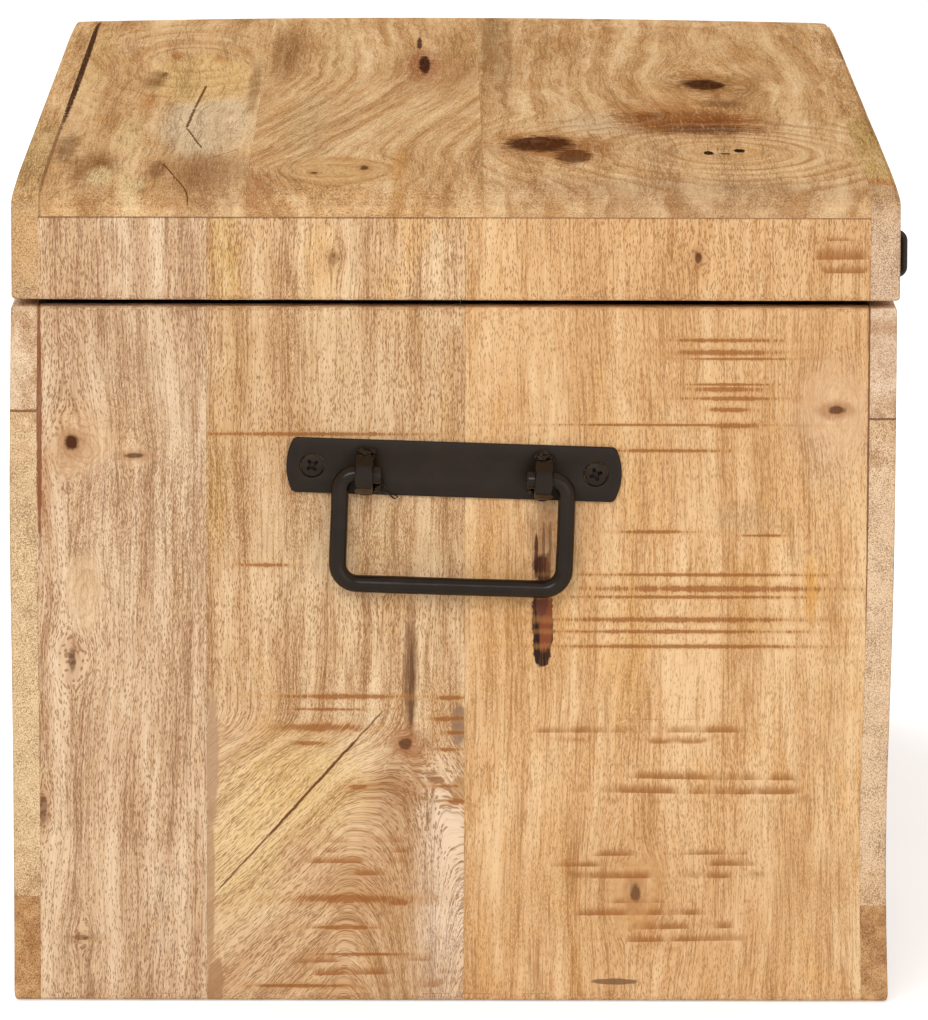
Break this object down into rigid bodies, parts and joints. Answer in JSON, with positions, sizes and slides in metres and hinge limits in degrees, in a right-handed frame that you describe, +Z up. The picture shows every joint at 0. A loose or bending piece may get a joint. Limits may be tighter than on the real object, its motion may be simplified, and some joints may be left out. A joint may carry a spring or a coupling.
{
  "type": "wooden chest",
  "caption": "Oblong wooden chest of glued boards with a slightly crowned hinged lid, drop handles on the ends and a hasp with staple.",
  "frame": {"origin": "on the floor, at the middle of the chest's length and width, on the underside of the bottom boards", "axes": "+X along the chest's length towards its right end, -Y towards the front with the hasp, +Z up"},
  "size_m": [0.8372, 0.432, 0.3753],
  "materials": {
    "pale_wood": "pale straw-coloured hardwood, sawn and lightly sanded, clear matt lacquer",
    "warm_wood": "warm orange-tan hardwood with saw marks, clear matt lacquer",
    "tan_wood": "pinkish tan hardwood with fine dark pores, clear matt lacquer",
    "black_iron": "satin black paint over iron"
  },
  "bodies": {
    "chest": {"left_end_board_front": "warm_wood", "left_end_board_middle": "pale_wood", "left_end_board_rear": "tan_wood", "right_end_board_front": "warm_wood", "right_end_board_middle": "pale_wood", "right_end_board_rear": "tan_wood", "front_board_lower": "tan_wood", "front_board_middle": "pale_wood", "front_board_upper": "warm_wood", "back_board_lower": "tan_wood", "back_board_middle": "pale_wood", "back_board_upper": "warm_wood", "bottom_board_front": "tan_wood", "bottom_board_rear": "tan_wood", "left_handle_plate": "black_iron", "left_handle_nut_front": "black_iron", "left_handle_nut_rear": "black_iron", "left_handle_screw_front": "black_iron", "left_handle_screw_rear": "black_iron", "right_handle_plate": "black_iron", "right_handle_nut_front": "black_iron", "right_handle_nut_rear": "black_iron", "right_handle_screw_front": "black_iron", "right_handle_screw_rear": "black_iron", "left_hinge_body_leaf": "black_iron", "left_hinge_pin": "black_iron", "left_hinge_body_screw_outer": "black_iron", "left_hinge_body_screw_inner": "black_iron", "right_hinge_body_leaf": "black_iron", "right_hinge_pin": "black_iron", "right_hinge_body_screw_outer": "black_iron", "right_hinge_body_screw_inner": "black_iron", "staple_plate": "black_iron", "staple": "black_iron", "staple_screw_left": "black_iron", "staple_screw_right": "black_iron"},
    "lid": {"lid_left_end_front": "warm_wood", "lid_left_end_middle": "pale_wood", "lid_left_end_rear": "tan_wood", "lid_right_end_front": "warm_wood", "lid_right_end_middle": "pale_wood", "lid_right_end_rear": "tan_wood", "lid_front_board": "warm_wood", "lid_back_board": "tan_wood", "lid_top_board_front": "warm_wood", "lid_top_board_middle": "pale_wood", "lid_top_board_rear": "tan_wood", "left_hinge_lid_leaf": "black_iron", "left_hinge_lid_screw_outer": "black_iron", "left_hinge_lid_screw_inner": "black_iron", "right_hinge_lid_leaf": "black_iron", "right_hinge_lid_screw_outer": "black_iron", "right_hinge_lid_screw_inner": "black_iron", "hasp_plate": "black_iron", "hasp_pin": "black_iron", "hasp_screw_left": "black_iron", "hasp_screw_right": "black_iron"},
    "left_bail": {"left_handle_bail": "black_iron"},
    "right_bail": {"right_handle_bail": "black_iron"},
    "hasp_strap": {"hasp_strap": "black_iron"}
  },
  "joints": [
    {"name": "lid_hinge", "type": "hinge", "parent": "chest", "child": "lid", "pos_m": [0, 0.204, 0.3205], "axis": [-1, 0, 0], "range_deg": [0, 180]},
    {"name": "left_bail_pivot", "type": "hinge", "parent": "chest", "child": "left_bail", "pos_m": [-0.4106, 0.00007, 0.2429], "axis": [0, 0.9995, 0.0305], "range_deg": [-7, 173]},
    {"name": "right_bail_pivot", "type": "hinge", "parent": "chest", "child": "right_bail", "pos_m": [0.4106, 0, 0.2429], "axis": [0, -1, 0], "range_deg": [-7, 173]},
    {"name": "hasp_hinge", "type": "hinge", "parent": "lid", "child": "hasp_strap", "pos_m": [0, -0.206, 0.328], "axis": [-1, 0, 0], "range_deg": [0, 180]}
  ]
}
